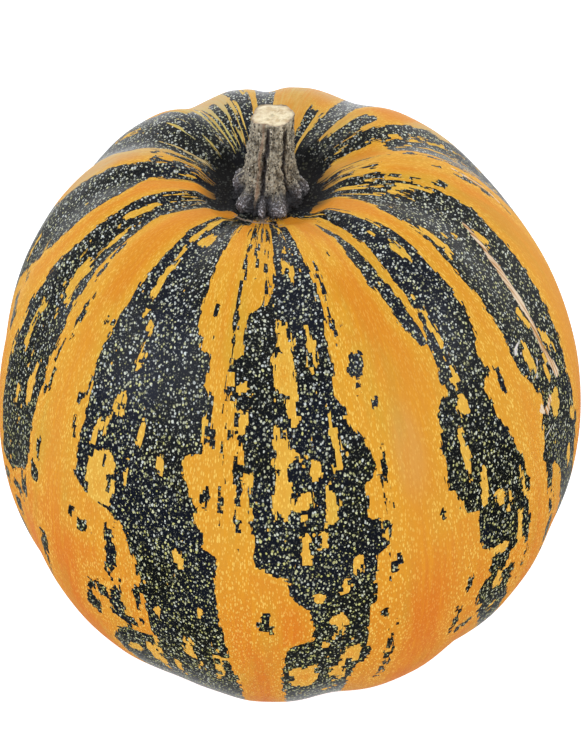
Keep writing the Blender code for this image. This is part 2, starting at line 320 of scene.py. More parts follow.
CORK_RING_RADIUS, CORK_RING_WIDTH, CORK_RING_RISE = 0.0167, 0.0006, 0.0013
CORK_RING_DRIFT, CORK_RING_WANDER = 0.0045, 0.0005
CORK_RING_START, CORK_RING_END = -54.0, 24.0

# Dark skin inside the cork line, partly its own dark colour and partly painted shade in the hollow round
# the stem, which reaches further out beside and behind the stem
DARK_RING_RADIUS, DARK_RING_DRIFT, DARK_RING_FADE = 0.0166, 0.0036, 0.0030
DARK_RING_MIDDLE, DARK_RING_DEPTH = -10.0, 25.0

# Fine folds that run in to the stem, and a slight unevenness of the whole skin
FOLD_COUNT, FOLD_RISE, FOLD_POLAR, FOLD_SPREAD, FOLD_FADE = 60, 0.0007, 13.0, 10.0, 0.004
SKIN_WAVE_RISE, SKIN_WAVE_FADE = 0.00025, 0.02

# Round the stem the skin is darker, partly its own browner colour and partly painted shade in the
# hollow, most of all beside and behind it: the middle of its lighter side, and how far out the shade
# reaches in degrees of polar angle
SHADE_GAP_AZIMUTH, SHADE_GAP_HALF = -2.0, 44.0
SHADE_INNER, SHADE_OUTER, SHADE_START = 10.0, 15.0, 7.5
SHADE_LEAST, SHADE_TURN = 0.25, 30.0

# Patches where the orange turns olive or pale tan, where some of the tan is painted highlight and painted
# reflection of the bright room: azimuth, polar, width, height and share
OLIVE_PATCHES = ((-143, 18, 44, 26, 0.9), (142, 15, 40, 22, 0.4), (180, 24, 40, 24, 0.4),
                 (104, 12, 30, 12, 0.3), (79, 34, 5, 9, 0.9))
TAN_AND_SHEEN_PATCHES = ((-116, 30, 20, 16, 0.7), (-158, 33, 16, 16, 0.8), (-66, 14, 10, 12, 0.5),
               (170, 38, 60, 14, 0.5), (-108, 39, 12, 16, 0.7), (-121, 17, 6, 12, 0.8),
               (27, 62, 6, 14, 0.15), (124, 42, 9, 14, 0.7))


def scar_depth(azimuth, polar, marks):
    """Millimetres inside the nearest of some scars, below 0 outside."""
    depth = np.full_like(azimuth, -20.0)
    for width, route in marks:
        for (a0, p0), (a1, p1) in zip(route, route[1:]):
            run = np.array([(a1 - a0) * MM_PER_DEGREE, (p1 - p0) * MM_PER_POLAR_DEGREE])
            x = (azimuth - a0) * MM_PER_DEGREE
            y = (polar - p0) * MM_PER_POLAR_DEGREE
            share = np.clip((x * run[0] + y * run[1]) / (run @ run), 0, 1)
            away = np.hypot(x - share * run[0], y - share * run[1])
            depth = np.maximum(depth, width / 2 - away)
    return depth


def patch_share(azimuth, polar, patches):
    """How much a point of the skin belongs to the strongest of some soft-edged patches."""
    share = np.zeros_like(azimuth)
    for middle, level, width, height, strength in patches:
        aside = aside_of(azimuth, middle) / (width / 2)
        along = (polar - level) / (height / 2)
        share = np.maximum(share, strength * smooth_step(1.6 - np.hypot(aside, along)))
    return share


def uneven(rows, columns, cells_up, cells_round, seed):
    """A smooth random field from -1 to 1 over a piece's rows, with no seam round it."""
    lattice = np.random.default_rng(seed).uniform(-1, 1, (cells_up + 2, cells_round))
    up = np.linspace(0, cells_up, rows)
    turn = np.arange(columns) * cells_round / columns
    row, column = up.astype(int), turn.astype(int)
    row_share = smooth_step(up - row)[:, None]
    column_share = smooth_step(turn - column)[None, :]
    after = (column + 1) % cells_round
    low = lattice[row][:, column] * (1 - column_share) + lattice[row][:, after] * column_share
    high = lattice[row + 1][:, column] * (1 - column_share) + lattice[row + 1][:, after] * column_share
    return low * (1 - row_share) + high * row_share


def ring_sheet(name, points):
    """A closed skin through rings of points that go up, with a flat face at each end."""
    rows, columns = points.shape[:2]
    index = np.arange(rows * columns).reshape(rows, columns)
    after = np.roll(index, -1, axis=1)
    faces = np.stack([index[:-1], after[:-1], after[1:], index[1:]], axis=-1).reshape(-1, 4).tolist()
    faces += [index[0][::-1].tolist(), index[-1].tolist()]
    mesh = bpy.data.meshes.new(name)
    mesh.from_pydata(points.reshape(-1, 3).tolist(), [], faces)
    mesh.shade_smooth()
    return mesh


def vertex_values(mesh, name, values):
    """Stores numbers, or triples of them, for the vertices under a name that a material can read."""
    numbers = np.ascontiguousarray(values, np.float32)
    if numbers.shape[-1] == 3:
        mesh.attributes.new(name, "FLOAT_VECTOR", "POINT").data.foreach_set("vector", numbers.ravel())
    else:
        mesh.attributes.new(name, "FLOAT", "POINT").data.foreach_set("value", numbers.ravel())


# The colour map's share for the unrolled rings, and the small discs above it for the end faces
MAP_RINGS = 0.94
MAP_DISC_RADIUS, MAP_DISC_LOW, MAP_DISC_HIGH = 0.025, (0.03, 0.97), (0.09, 0.97)


def ring_map(mesh, rows, columns, heights):
    """A flat colour map: the rings unrolled, with the two end faces as small discs above them."""
    turn = np.arange(columns + 1) / columns
    corner_turn = np.stack([turn[:-1], turn[1:], turn[1:], turn[:-1]], axis=-1)
    corner_turn = np.broadcast_to(corner_turn, (rows - 1, columns, 4))
    height = MAP_RINGS * (heights - heights[0]) / (heights[-1] - heights[0])
    corner_height = np.stack([height[:-1], height[:-1], height[1:], height[1:]], axis=-1)
    corner_height = np.broadcast_to(corner_height[:, None, :], (rows - 1, columns, 4))
    body = np.stack([corner_turn, corner_height], axis=-1).reshape(-1, 2)
    ring = 2 * np.pi * np.arange(columns) / columns
    disc = MAP_DISC_RADIUS * np.stack([np.sin(ring), -np.cos(ring)], axis=-1)
    layer = mesh.uv_layers.new(name="OFBake")
    uvs = np.concatenate([body, disc[::-1] + MAP_DISC_LOW, disc + MAP_DISC_HIGH])
    layer.data.foreach_set("uv", uvs.astype(np.float32).ravel())


def new_piece(name, mesh):
    piece = bpy.data.objects.new(name, mesh)
    bpy.context.scene.collection.objects.link(piece)
    return piece


rind_lowest = 180 - math.degrees(math.asin(REST_SPOT_RADIUS / HALF_WIDTH))
rind_highest = math.degrees(math.asin(SEAT_RADIUS / HALF_WIDTH))
rind_share = 1 - (1 - np.linspace(0, 1, RIND_ROWS)) ** ROW_CROWDING
rind_polar_row = rind_lowest + (rind_highest - rind_lowest) * rind_share
rind_azimuth_row = -180 + 360 * np.arange(RIND_COLUMNS) / RIND_COLUMNS
rind_azimuth, rind_polar = np.meshgrid(rind_azimuth_row, rind_polar_row)
rind_radius = HALF_WIDTH * np.sin(np.radians(rind_polar))

rind_scar = scar_depth(rind_azimuth, rind_polar, SCARS)
rind_scratch = scar_depth(rind_azimuth, rind_polar, SCRATCHES)
front_share = smooth_step((rind_azimuth - CORK_RING_START) / 12)
front_share *= smooth_step((CORK_RING_END - rind_azimuth) / 8)
ring_wander = CORK_RING_WANDER * uneven(RIND_ROWS, RIND_COLUMNS, 4, 60, 7)
ring_middle = CORK_RING_RADIUS + CORK_RING_DRIFT * smooth_step((rind_azimuth - 2) / 20)
ring_away = (rind_radius + ring_wander - ring_middle) / CORK_RING_WIDTH
rind_cork = np.where(rind_polar < 90, bell(ring_away) * front_share, 0.0)
folds = uneven(RIND_ROWS, RIND_COLUMNS, 5, FOLD_COUNT, 3) * bell((rind_polar - FOLD_POLAR) / FOLD_SPREAD)
waves = uneven(RIND_ROWS, RIND_COLUMNS, 20, 48, 5)
waves *= smooth_step((rind_radius - SEAT_RADIUS) / SKIN_WAVE_FADE)
rest_share = smooth_step((rind_lowest - rind_polar) / 6)
folds *= smooth_step((rind_radius - SEAT_RADIUS) / FOLD_FADE)
scar_share = smooth_step((rind_scar + 0.5) / 1.5)
rind_relief = rest_share * (SCAR_RISE * scar_share + CORK_RING_RISE * rind_cork
                            + FOLD_RISE * folds + SKIN_WAVE_RISE * waves)
rind_skin = rind_points(rind_azimuth, rind_polar, rind_relief)
rind_skin[0, :, 2] = 0.0
rind_mesh = ring_sheet("rind", rind_skin)
ring_map(rind_mesh, RIND_ROWS, RIND_COLUMNS, -rind_polar_row)
down_the_side = np.radians(rind_polar) * (TOP_HALF_HEIGHT + BOTTOM_HALF_HEIGHT) / 2
rind_turn = np.radians(rind_azimuth)
round_the_side = (HALF_WIDTH * np.sin(rind_turn), -HALF_WIDTH * np.cos(rind_turn), down_the_side)
vertex_values(rind_mesh, "grain", np.stack(round_the_side, axis=-1))
# Painted shade round the stem, over the skin's own browner colour there
shade_side = np.abs(aside_of(rind_azimuth, SHADE_GAP_AZIMUTH))
shade_side = SHADE_LEAST + (1 - SHADE_LEAST) * smooth_step((shade_side - SHADE_GAP_HALF) / SHADE_TURN)
shade_reach = SHADE_INNER + (SHADE_OUTER - SHADE_INNER) * shade_side
rind_shade = smooth_step((shade_reach - rind_polar) / (shade_reach - SHADE_START)) * shade_side
# Painted shade in the hollow inside the cork line, over its dark skin, is added to the stripes' dark
dark_side = smooth_step((np.abs(rind_azimuth - DARK_RING_MIDDLE) - 35) / 30)
dark_and_shaded_ring = DARK_RING_RADIUS + DARK_RING_DRIFT * dark_side - rind_radius
dark_and_shaded_ring = smooth_step(dark_and_shaded_ring / DARK_RING_FADE) * (rind_polar < 90)
for name, values in (
    ("dark", stripe_depth(rind_azimuth, rind_polar) + DARK_RING_DEPTH * dark_and_shaded_ring),
    ("belt", stripe_depth(rind_azimuth, rind_polar, whole=True)),
    ("shade", rind_shade),
    ("olive", patch_share(rind_azimuth, rind_polar, OLIVE_PATCHES)),
    ("tan", patch_share(rind_azimuth, rind_polar, TAN_AND_SHEEN_PATCHES)),
    ("scar", rind_scar),
    ("scratch", rind_scratch),
    ("cork", rind_cork),
    ("polar", rind_polar),
):
    vertex_values(rind_mesh, name, values)


def linear(code):
    """An sRGB hex colour as linear light, with alpha 1."""
    parts = [int(code[at:at + 2], 16) / 255 for at in (1, 3, 5)]
    return (*[p / 12.92 if p <= 0.04045 else ((p + 0.055) / 1.055) ** 2.4 for p in parts], 1.0)


def add_node(tree, kind, inputs=(), **settings):
    """Adds one node with its settings. Inputs go by place or name: a number, a hex colour or a socket."""
    node = tree.nodes.new("ShaderNode" + kind)
    for name, value in settings.items():
        setattr(node, name, value)
    for name, value in inputs.items() if isinstance(inputs, dict) else enumerate(inputs):
        if isinstance(value, str):
            value = linear(value)
        if isinstance(value, bpy.types.NodeSocket):
            tree.links.new(value, node.inputs[name])
        elif value is not None:
            node.inputs[name].default_value = value
    return node.outputs


def new_material(name):
    """A material, its node tree and its shader."""
    material = bpy.data.materials.new(name)
    material.use_nodes = True
    return material, material.node_tree, material.node_tree.nodes["Principled BSDF"]


def per_metre(*sizes):
    """How many cells of each size in millimetres a metre holds."""
    return tuple(1000 / size for size in sizes)


# Settings that many nodes share
SMOOTH = {"interpolation_type": "SMOOTHSTEP"}
COLOUR = {"data_type": "RGBA"}

# How far, in metres, a lenticel is moved out of its row
SWIRL_REACH = 0.0009


def waxy_striped_rind():
    """Waxy rind: near-black green stripes over orange, both peppered with pale lenticels."""
    material, tree, shader = new_material("waxy striped rind")
    add = partial(add_node, tree)
    place = add("TexCoord")["Object"]
    grain = add("Attribute", attribute_name="grain")["Vector"]
    names = ("dark", "belt", "scar", "scratch", "cork", "polar", "shade", "olive", "tan")
    values = [add("Attribute", attribute_name=name)["Fac"] for name in names]
    dark, belt, scar, scratch, cork, polar, shade, olive, tan = values
    at_stem = add("MapRange", [polar, 27, 12, 0, 1], **SMOOTH)[0]

    # The stripes' edges step from one small block of skin to the next, 1 to 5 mm a side
    wave = add("TexNoise", {"Vector": grain, "Scale": per_metre(6)[0], "Detail": 2.0})["Fac"]
    side = add("SeparateXYZ", [grain])
    turn = add("Math", [side[0], side[1]], operation="ARCTAN2")[0]
    across = add("Math", [turn, 1000 * HALF_WIDTH, wave], operation="MULTIPLY_ADD")[0]
    down = add("Math", [side[2], 1000.0, wave], operation="MULTIPLY_ADD")[0]
    edge = add("Math", [wave, 3.2, -1.6], operation="MULTIPLY_ADD")[0]
    edge = add("Math", [edge, dark], operation="ADD")[0]
    for width, length, swing in ((2.5, 5.4, 2.1), (1.25, 2.4, 1.0)):
        column = add("Math", [across, width], operation="DIVIDE")[0]
        column = add("Math", [column], operation="FLOOR")[0]
        start = add("TexWhiteNoise", {"W": column}, noise_dimensions="1D")["Value"]
        row = add("Math", [down, 1 / length, start], operation="MULTIPLY_ADD")[0]
        row = add("Math", [row], operation="FLOOR")[0]
        block = add("CombineXYZ", [column, row])[0]
        draw = add("TexWhiteNoise", [block], noise_dimensions="2D")["Value"]
        step = add("Math", [draw, swing, -swing / 2], operation="MULTIPLY_ADD")[0]
        edge = add("Math", [edge, step], operation="ADD")[0]

    # Round the stem the stripes break into lines that run in to it, and the skin between them darkens,
    # partly its own darker colour and partly painted shade in the hollow round the stem
    hair_place = add("Mapping", [grain, None, None, per_metre(4.0, 4.0, 30)])[0]
    hair = add("TexNoise", {"Vector": hair_place, "Scale": 1.0, "Detail": 3.0})["Fac"]
    hair = add("MapRange", [hair, 0.3, 0.7, -10, 14])[0]
    hair_reach = add("Math", [at_stem, 0.5], operation="MULTIPLY")[0]
    hair_reach = add("Math", [hair_reach, olive], operation="MAXIMUM")[0]
    hair = add("Math", [hair, hair_reach], operation="MULTIPLY")[0]
    edge = add("Math", [edge, hair], operation="ADD")[0]
    edge = add("Math", [shade, 9.0, edge], operation="MULTIPLY_ADD")[0]
    edge = add("Math", [olive, 4.0, edge], operation="MULTIPLY_ADD")[0]

    # Small gaps inside the dark, up to 3 mm wide and under 2 mm wide
    for width, length, least, most in ((7, 11, -0.08, 0.24), (3.2, 5, -0.12, 0.26)):
        gap_place = add("Mapping", [grain, None, None, per_metre(width, width, length)])[0]
        gap = add("TexVoronoi", {"Vector": gap_place, "Scale": 1.0})
        gap_draw = add("SeparateColor", [gap["Color"]])[0]
        gap_size = add("MapRange", [gap_draw, 0.76, 1.0, least, most])[0]
        gap_depth = add("Math", [gap_size, gap["Distance"]], operation="SUBTRACT")[0]
        gap_depth = add("MapRange", [gap_depth, 0, 0.1, 0, 7])[0]
        edge = add("Math", [edge, gap_depth], operation="SUBTRACT")[0]
    is_dark = add("MapRange", [edge, -0.06, 0.06, 0, 1])[0]

    # Lenticels: pale specks 0.5 to 1 mm across, a little over a millimetre apart, and finer dust
    swirl = add("TexNoise", {"Vector": place, "Scale": per_metre(1.4)[0], "Detail": 1.0})["Color"]
    speck_place = add("VectorMath", [swirl, (SWIRL_REACH,) * 3, place], operation="MULTIPLY_ADD")[0]
    dust_place = add("Mapping", [speck_place, None, None, per_metre(0.6, 0.6, 1.0)])[0]
    dust = add("TexVoronoi", {"Vector": dust_place, "Scale": 1.0})
    dust_draw = add("SeparateColor", [dust["Color"]])[0]
    dust_share = add("MapRange", [dust["Distance"], 0.34, 0.16, 0, 0.3])[0]
    dust_share = add("Math", [dust_share, dust_draw], operation="MULTIPLY")[0]
    speck_place = add("Mapping", [speck_place, None, None, per_metre(1.05, 1.05, 1.6)])[0]
    speck = add("TexVoronoi", {"Vector": speck_place, "Scale": 1.0})
    speck_draw = add("SeparateColor", [speck["Color"]])
    speck_size = add("Math", [speck_draw[0], speck_draw[0]], operation="MULTIPLY")[0]
    speck_size = add("Math", [speck_size, 0.25, 0.27], operation="MULTIPLY_ADD")[0]
    speck_share = add("Math", [speck_size, speck["Distance"]], operation="SUBTRACT")[0]
    speck_share = add("MapRange", [speck_share, -0.04, 0.1, 0, 1], **SMOOTH)[0]
    speck_light = add("MapRange", [speck_draw[2], 0, 1, 0.4, 0.98])[0]
    speck_light = add("Math", [speck_share, speck_light], operation="MULTIPLY")[0]
    speck_light = add("Math", [speck_light, dust_share], operation="MAXIMUM")[0]
    inside = add("MapRange", [edge, 0.0, 0.9, 0.15, 1], **SMOOTH)[0]
    speck_light = add("Math", [speck_light, inside], operation="MULTIPLY")[0]
    plain = add("Math", [at_stem, 0.6, shade], operation="MULTIPLY_ADD")[0]
    speck_rest = add("MapRange", [plain, 0.2, 1.1, 1, 0.08])[0]
    speck_light = add("Math", [speck_light, speck_rest], operation="MULTIPLY")[0]
    lower = add("MapRange", [polar, 30, 85, -0.3, 0.2])[0]
    greener = add("Math", [speck_draw[1], lower], operation="ADD", use_clamp=True)[0]
    speck_tone = add("Mix", {0: greener, 6: "#c8ccc0", 7: "#bdb968"}, **COLOUR)[2]
    cloud = add("TexNoise", {"Vector": grain, "Scale": per_metre(45)[0], "Detail": 2.0})["Fac"]
    navy_share = add("MapRange", [cloud, 0.45, 0.6, 0, 0.8], **SMOOTH)[0]
    dark_skin = add("Mix", {0: wave, 6: "#0c0d07", 7: "#0b0e12"}, **COLOUR)[2]
    # The shade share mixes painted shade into the dark skin round the stem, over its own darker colour
    for share, tone in ((navy_share, "#0d111b"), (shade, "#0c0907"), (speck_light, speck_tone)):
        dark_skin = add("Mix", {0: share, 6: dark_skin, 7: tone}, **COLOUR)[2]

    # Orange skin: deepest in the middle of a band and yellow beside a stripe, with fine paler dashes
    beside = add("MapRange", [dark, -9, -0.5, 0, 1], **SMOOTH)[0]
    low_down = add("MapRange", [polar, 25, 100, 0, 1], **SMOOTH)[0]
    deep = add("Mix", {0: low_down, 6: "#c57b19", 7: "#c56a08"}, **COLOUR)[2]
    light = add("Mix", {0: low_down, 6: "#c78f26", 7: "#c47c12"}, **COLOUR)[2]
    orange = add("Mix", {0: beside, 6: deep, 7: light}, **COLOUR)[2]
    waist_top = add("MapRange", [polar, 36, 58, 0, 0.5], **SMOOTH)[0]
    waist_share = add("MapRange", [polar, 95, 72, 0, 1], **SMOOTH)[0]
    waist_share = add("Math", [waist_top, waist_share], operation="MULTIPLY")[0]
    streak_place = add("Mapping", [grain, None, None, per_metre(1.5, 1.5, 22)])[0]
    streak = add("TexNoise", {"Vector": streak_place, "Scale": 1.0, "Detail": 3.0})["Fac"]
    streak_share = add("MapRange", [streak, 0.45, 0.7, 0, 0.45])[0]
    in_stripe = add("MapRange", [belt, 0.0, 2.0, 0, 0.5])[0]
    window_rim = add("MapRange", [dark, -4.0, -0.5, 0.35, 1])[0]
    in_stripe = add("Math", [in_stripe, window_rim], operation="MULTIPLY")[0]
    dash_place = add("Mapping", [grain, None, None, per_metre(0.75, 0.75, 2.0)])[0]
    dash = add("TexVoronoi", {"Vector": dash_place, "Scale": 1.0})
    dash_draw = add("SeparateColor", [dash["Color"]])
    dash_size = add("MapRange", [dash_draw[0], 0, 1, 0.15, 0.5])[0]
    dash_share = add("Math", [dash_size, dash["Distance"]], operation="SUBTRACT")[0]
    dash_share = add("MapRange", [dash_share, -0.1, 0.15, 0, 1], **SMOOTH)[0]
    dash_strength = add("MapRange", [dark, -9, -0.5, 0.2, 0.65])[0]
    dash_share = add("Math", [dash_share, dash_strength], operation="MULTIPLY")[0]
    tint_place = add("Mapping", [grain, None, None, per_metre(14, 14, 60)])[0]
    tint = add("TexNoise", {"Vector": tint_place, "Scale": 1.0, "Detail": 3.0})["Fac"]
    tint_share = add("MapRange", [tint, 0.52, 0.75, 0, 0.35], **SMOOTH)[0]

    # Behind the stem the orange turns olive and tan, in streaks, and some of the tan is painted highlight
    # and painted reflection of the bright room; right at the stem it browns, partly its own colour and
    # partly painted shade
    olive_share = add("MapRange", [streak, 0.3, 0.6, 0.25, 1.2])[0]
    olive_share = add("Math", [olive_share, olive], operation="MULTIPLY", use_clamp=True)[0]
    olive_tone = add("Mix", {0: wave, 6: "#8a8238", 7: "#cfc077"}, **COLOUR)[2]
    tan_and_sheen_share = add("MapRange", [streak, 0.3, 0.6, 0.4, 1.1])[0]
    tan_and_sheen_share = add("Math", [tan_and_sheen_share, tan], operation="MULTIPLY", use_clamp=True)[0]
    brown_and_shade_share = add("MapRange", [shade, 0.1, 0.7, 0, 0.85])[0]
    for share, tone in (
        (waist_share, "#c7912c"), (streak_share, "#d08c16"), (in_stripe, "#cfa945"),
        (dash_share, "#e4c05a"), (tint_share, "#ac8f2b"), (olive_share, olive_tone),
        (tan_and_sheen_share, "#b5a173"), (brown_and_shade_share, "#5a4a2e"),
    ):
        orange = add("Mix", {0: share, 6: orange, 7: tone}, **COLOUR)[2]

    # Corky tissue, in the scars and where the skin meets the stem
    cork_share = add("Math", [streak, 3.0, scar], operation="MULTIPLY_ADD")[0]
    cork_share = add("Math", [wave, 2.4, cork_share], operation="MULTIPLY_ADD")[0]
    cork_share = add("MapRange", [cork_share, 2.4, 3.0, 0, 1], **SMOOTH)[0]
    scar_tone = add("MapRange", [streak, 0.42, 0.56, 0, 1])[0]
    scar_tone = add("Mix", {0: scar_tone, 6: "#a9783f", 7: "#cbb799"}, **COLOUR)[2]
    scratch_share = add("Math", [scratch, wave], operation="ADD")[0]
    scratch_share = add("MapRange", [scratch_share, 0.3, 0.7, 0, 0.9], **SMOOTH)[0]
    ring_share = add("MapRange", [cork, 0.35, 0.8, 0, 0.9], **SMOOTH)[0]
    skin = orange
    for share, tone in (
        (is_dark, dark_skin), (cork_share, scar_tone), (scratch_share, "#cfc8be"), (ring_share, "#94806c"),
    ):
        skin = add("Mix", {0: share, 6: skin, 7: tone}, **COLOUR)[2]
    tree.links.new(skin, shader.inputs["Base Color"])
    roughness = add("MapRange", [is_dark, 0, 1, 0.58, 0.34])[0]
    corky = add("Math", [cork_share, ring_share], operation="MAXIMUM")[0]
    corky = add("Math", [corky, shade], operation="MAXIMUM")[0]
    roughness = add("Math", [corky, 0.4, roughness], operation="MULTIPLY_ADD", use_clamp=True)[0]
    tree.links.new(roughness, shader.inputs["Roughness"])
    shader.inputs["IOR"].default_value = 1.3
    shader.inputs["Specular IOR Level"].default_value = 0.25
    rise = add("Math", [speck_share, -0.25, wave], operation="MULTIPLY_ADD")[0]
    bump = add("Bump", {"Height": rise, "Strength": 0.5, "Distance": 0.0004})[0]
    tree.links.new(bump, shader.inputs["Normal"])
    return material


rind_mesh.materials.append(waxy_striped_rind())
rind = new_piece("rind", rind_mesh)
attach(rind, "root")
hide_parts("fruit")


# The stem
# The dry stalk that the fruit hung from, woody and rough, cut off with a knife so that its pale
# heart shows. Its ridges run down it and swell into knobs where they grow into the rind.
STEM_LENGTH = 0.0352
STEM_TOP_RADIUS, STEM_FLARE, STEM_FLARE_HEIGHT = 0.0073, 0.0060, 0.0094
STEM_CENTRE, STEM_LEAN = (-0.0011, 0.0030), (0.0023, 0.0012)
CUT_TILT = 8.0
STEM_COLUMNS, STEM_ROWS, CUT_ROWS = 420, 170, 14
BARK_RISE = 0.0005
STEM_CORD_RISE, STEM_TWIST = 0.0003, 3.5
CUT_FACE_RISE, CUT_FACE_MAP = 0.0004, 0.008

# Ridges and the furrows between them, as azimuth, rise or depth, and half width in degrees
STEM_RIDGES = (
    (-52, 0.0002, 20), (-26, 0.0005, 4), (-8, 0.0004, 3), (12, 0.0008, 18), (64, 0.0004, 12),
    (96, 0.0010, 15), (148, 0.0009, 20), (213, 0.0010, 22),
)
STEM_FURROWS = (
    (-13, 0.0015, 7), (43, 0.0014, 7), (80, 0.0012, 6), (120, 0.0010, 7), (178, 0.0011, 7),
    (240, 0.0010, 7), (-82, 0.0009, 6), (-40, 0.0004, 4), (20, 0.0004, 3), (-65, 0.0005, 4),
    (3, 0.0003, 3), (56, 0.0004, 3),
)
FURROW_DEPTH = 0.0012
FURROW_START, FURROW_FADE, FURROW_END_FADE = 0.002, 0.006, 0.007
PINK_RIDGE, PINK_HALF = -26.0, 6.0

# Knobs at the foot, as azimuth, height, rise and half width in degrees
STEM_KNOBS = (
    (-84, 0.0070, 0.0034, 10), (-47, 0.0034, 0.0034, 10), (-11, 0.0028, 0.0030, 7),
    (17, 0.0034, 0.0044, 13), (66, 0.0058, 0.0018, 10),
    (97, 0.0034, 0.0018, 11), (133, 0.0040, 0.0028, 12), (168, 0.0030, 0.0030, 12),
    (203, 0.0040, 0.0026, 11), (238, 0.0040, 0.0030, 12),
)
KNOB_HALF_HEIGHT = 0.0034

# Outline of the cut: corners and flats, as azimuth and radius
CUT_OUTLINE = (
    (-54, 0.0090), (-18, 0.0076), (18, 0.0088), (60, 0.0071), (101, 0.0077), (124, 0.0076),
    (147, 0.0086), (177, 0.0078), (207, 0.0091), (256, 0.0070), (306, 0.0090),
)
CUT_OUTLINE_REACH = 0.010


def knob_share(azimuth, height, knob):
    middle, level, _, width = knob
    reach = np.hypot(aside_of(azimuth, middle) / width, (height - level) / KNOB_HALF_HEIGHT)
    return bell(reach ** 1.5)


def furrow_share(azimuth, height):
    share = np.zeros_like(azimuth)
    broken = 0.9 + 0.2 * np.sin(height / 0.0011 + azimuth / 3)
    for middle, depth, width in STEM_FURROWS:
        share += depth / FURROW_DEPTH * bell(aside_of(azimuth, middle) / width)
    near_cut = 0.1 + 0.9 * smooth_step((STEM_LENGTH - height) / FURROW_END_FADE)
    return share * broken * smooth_step((height - FURROW_START) / FURROW_FADE) * near_cut


def stem_relief(azimuth, height):
    relief = -FURROW_DEPTH * furrow_share(azimuth, height)
    for middle, rise, width in STEM_RIDGES:
        relief += rise * bell(aside_of(azimuth, middle) / width)
    for knob in STEM_KNOBS:
        relief += knob[2] * knob_share(azimuth, height, knob)
    return relief


def stem_points(azimuth, height, share, relief):
    """Points at a share of the stem's radius. A share below 1 is on the cut face."""
    turn = np.radians(azimuth)
    flare = STEM_TOP_RADIUS + STEM_FLARE * np.exp(-height / STEM_FLARE_HEIGHT)
    corner_azimuth, corner_radius = zip(*CUT_OUTLINE)
    first = corner_azimuth[0]
    outline = np.interp((azimuth - first) % 360 + first, corner_azimuth, corner_radius)
    squared = smooth_step((height - STEM_LENGTH + CUT_OUTLINE_REACH) / CUT_OUTLINE_REACH)
    radius = ((flare + relief) * (1 - squared) + (outline + 0.3 * relief) * squared) * share
    lean = (height / STEM_LENGTH) ** 2
    cut = lean * math.tan(math.radians(CUT_TILT)) * radius * np.cos(turn)
    x = radius * np.sin(turn) + STEM_CENTRE[0] + LEAN * SEAT_HEIGHT + STEM_LEAN[0] * lean
    y = -radius * np.cos(turn) + STEM_CENTRE[1] + STEM_LEAN[1] * lean
    return np.stack([x, y, SEAT_HEIGHT + height + cut], axis=-1)


stem_azimuth_row = 360 * np.arange(STEM_COLUMNS) / STEM_COLUMNS
stem_height_row = np.concatenate([np.linspace(0, STEM_LENGTH, STEM_ROWS), np.full(CUT_ROWS, STEM_LENGTH)])
stem_share_row = np.concatenate([np.ones(STEM_ROWS), np.linspace(0.99, 0.06, CUT_ROWS)])
stem_azimuth, stem_height = np.meshgrid(stem_azimuth_row, stem_height_row)
stem_share = np.broadcast_to(stem_share_row[:, None], stem_azimuth.shape)
all_rows = STEM_ROWS + CUT_ROWS
stem_grit = uneven(all_rows, STEM_COLUMNS, 80, 110, 11) + 0.9 * uneven(all_rows, STEM_COLUMNS, 16, 64, 12)
stem_grit = np.where(stem_share < 1, 0, stem_grit * BARK_RISE)
stem_cords = np.where(stem_share < 1, 0, STEM_CORD_RISE * uneven(all_rows, STEM_COLUMNS, 7, 64, 15))
stem_twist = stem_azimuth + STEM_TWIST * uneven(all_rows, STEM_COLUMNS, 9, 12, 14)
stem_bumps = stem_relief(stem_twist, stem_height) + stem_grit + stem_cords
stem_skin = stem_points(stem_azimuth, stem_height, stem_share, stem_bumps)
stem_skin[..., 2] += np.where(stem_share < 1, CUT_FACE_RISE * uneven(all_rows, STEM_COLUMNS, 60, 14, 13), 0)
stem_mesh = ring_sheet("stem_bark", stem_skin)
ring_map(stem_mesh, all_rows, STEM_COLUMNS, stem_height_row + (1 - stem_share_row) * CUT_FACE_MAP)
stem_knobs = np.max([knob_share(stem_twist, stem_height, knob) for knob in STEM_KNOBS], axis=0)
# The furrow share below carries painted shade, and is lower where the bark stands raised
raised = stem_grit / BARK_RISE + stem_cords / STEM_CORD_RISE
for name, values in (
    ("up", stem_height),
    ("furrow", furrow_share(stem_twist, stem_height) - 0.15 * raised),
    ("pink", bell(aside_of(stem_twist, PINK_RIDGE) / PINK_HALF)),
    ("knob", stem_knobs),
    ("cut", (stem_share < 1).astype(float)),
    ("core", stem_share),
):
    vertex_values(stem_mesh, name, values)


